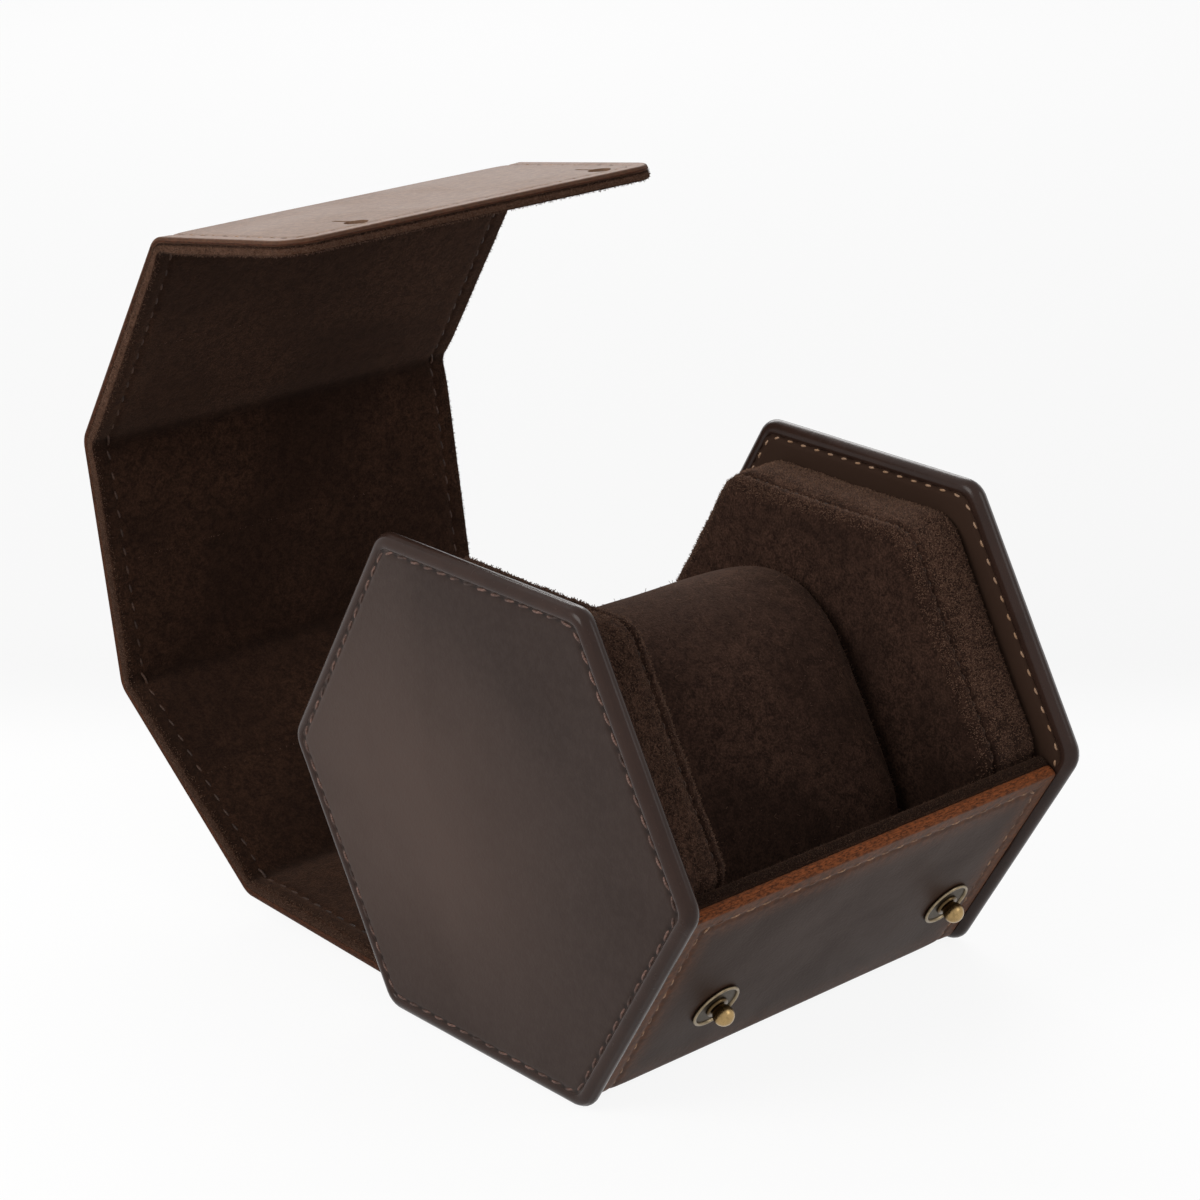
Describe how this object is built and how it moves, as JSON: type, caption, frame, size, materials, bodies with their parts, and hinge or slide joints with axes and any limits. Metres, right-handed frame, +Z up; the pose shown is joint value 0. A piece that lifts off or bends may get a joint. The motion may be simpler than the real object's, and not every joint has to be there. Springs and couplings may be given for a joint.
{
  "type": "watch travel case",
  "caption": "Hexagonal leather travel case for a wristwatch, with padded ends, a suede-lined folding lid that buttons onto brass studs, and a lift-out pillow.",
  "frame": {"origin": "on the table under the middle of the case: half way between the two end plates, under the axis of the hexagon, on the flat underside of the base panel", "axes": "+X along the case towards the right-hand end plate, the studs and the front panel face -Y, the lid hinges on the +Y side, +Z up"},
  "size_m": [0.0926, 0.1667, 0.1295],
  "materials": {
    "plate_leather": "satin",
    "rim_leather": "satin",
    "strip_leather": "satin",
    "suede": "matte",
    "board": "matte",
    "foam": "matte",
    "brass": "satin",
    "aged_brass": "satin"
  },
  "bodies": {
    "case": {"left_plate_facing": "plate_leather", "left_plate_board": "board", "left_plate_lining": "plate_leather", "left_plate_rim": "rim_leather", "right_plate_facing": "plate_leather", "right_plate_board": "board", "right_plate_lining": "plate_leather", "right_plate_rim": "rim_leather", "left_pad_cover": "suede", "left_pad_foam": "foam", "right_pad_cover": "suede", "right_pad_foam": "foam", "front_leather": "strip_leather", "front_board": "board", "front_lining": "suede", "base_leather": "strip_leather", "base_board": "board", "base_lining": "suede", "stud_washers": "aged_brass", "stud_posts": "brass", "stud_screws": "aged_brass"},
    "lid_rear": {"lid_rear_leather": "strip_leather", "lid_rear_board": "board", "lid_rear_lining": "suede"},
    "lid_back": {"lid_back_leather": "strip_leather", "lid_back_board": "board", "lid_back_lining": "suede"},
    "lid_top": {"lid_top_leather": "strip_leather", "lid_top_board": "board", "lid_top_lining": "suede"},
    "lid_front": {"lid_front_leather": "strip_leather", "lid_front_board": "board", "lid_front_lining": "suede"},
    "flap": {"flap_leather": "strip_leather", "flap_lining": "suede"},
    "pillow": {"pillow_cover": "suede", "pillow_core": "foam"}
  },
  "joints": [
    {"name": "rear_fold", "type": "hinge", "parent": "case", "child": "lid_rear", "pos_m": [0, 0.02344, 0.0011], "axis": [1, 0, 0], "range_deg": [-2, 58]},
    {"name": "back_fold", "type": "hinge", "parent": "lid_rear", "child": "lid_back", "pos_m": [0, 0.07214, 0.0028], "axis": [1, 0, 0], "range_deg": [-36.5, 23.5]},
    {"name": "top_fold", "type": "hinge", "parent": "lid_back", "child": "lid_top", "pos_m": [0, 0.10955, 0.03256], "axis": [1, 0, 0], "range_deg": [-42, 18]},
    {"name": "front_fold", "type": "hinge", "parent": "lid_top", "child": "lid_front", "pos_m": [0, 0.11744, 0.07971], "axis": [1, 0, 0], "range_deg": [-41, 15]},
    {"name": "flap_fold", "type": "hinge", "parent": "lid_front", "child": "flap", "pos_m": [0, 0.09105, 0.12278], "axis": [1, 0, 0], "range_deg": [-49, 15]},
    {"name": "pillow_lift", "type": "slide", "parent": "case", "child": "pillow", "axis": [0, 0, 1], "range_m": [0, 0.095]}
  ]
}
